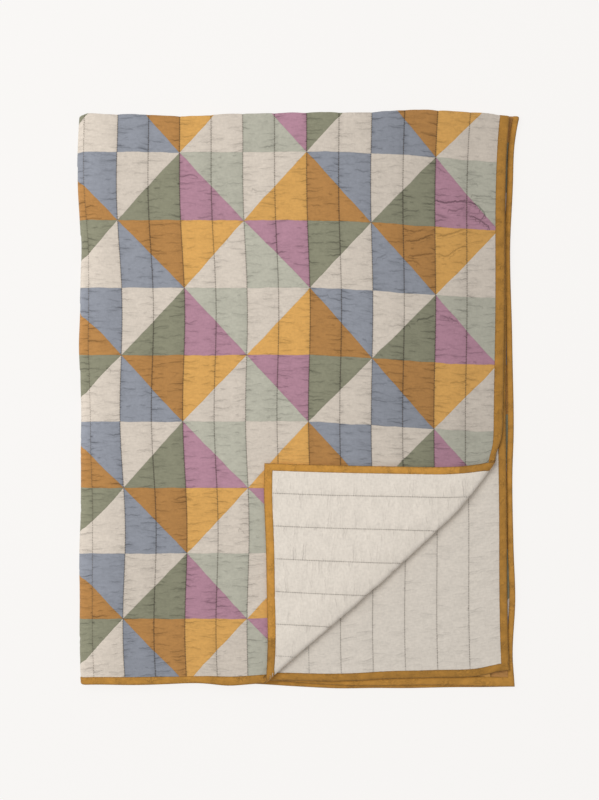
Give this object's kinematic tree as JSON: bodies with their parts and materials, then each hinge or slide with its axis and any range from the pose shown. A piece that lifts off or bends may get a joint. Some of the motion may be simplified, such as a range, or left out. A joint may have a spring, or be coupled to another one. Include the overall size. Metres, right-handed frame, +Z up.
{
  "type": "quilt blanket",
  "caption": "Pieced quilt blanket with a plain back and a bound edge, folded in four and lying flat, with one corner of its top layer turned back.",
  "frame": {"origin": "on the supporting surface, under the middle of the folded blanket", "axes": "+Y along the folded blanket towards its folded far edge, +X towards its open right edges, +Z up"},
  "size_m": [0.7728, 1.0139, 0.0315],
  "materials": {
    "patchwork": "washed cotton patchwork",
    "backing": "washed plain cotton",
    "binding": "washed plain cotton"
  },
  "bodies": {
    "root": {"quilt_front": "patchwork", "quilt_backing": "backing", "edge_binding": "binding"}
  },
  "joints": []
}
